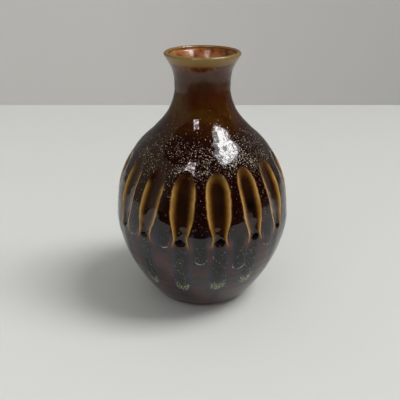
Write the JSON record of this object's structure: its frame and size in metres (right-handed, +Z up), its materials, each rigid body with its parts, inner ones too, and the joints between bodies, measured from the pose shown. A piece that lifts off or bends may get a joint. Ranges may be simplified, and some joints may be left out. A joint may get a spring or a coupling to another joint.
{
  "type": "ceramic bud vase",
  "caption": "Thrown stoneware bud vase: a bottle form with a narrow flared neck for one or a few stems, carved flutes round the belly and a glossy amber-brown glaze.",
  "frame": {"origin": "centre of the foot, in the plane it stands on", "axes": "+Z up along the axis it was thrown on; a ridge between two flutes faces -Y"},
  "size_m": [0.0914, 0.0914, 0.1315],
  "materials": {
    "fired_clay": "bare fired stoneware, matt",
    "outer_glaze": "glossy amber-brown glaze, golden where thin on edges and near black where it pools",
    "liner_glaze": "glossy orange-brown glaze"
  },
  "bodies": {
    "root": {"clay_body": "fired_clay", "outer_glaze": "outer_glaze", "liner_glaze": "liner_glaze"}
  },
  "joints": []
}
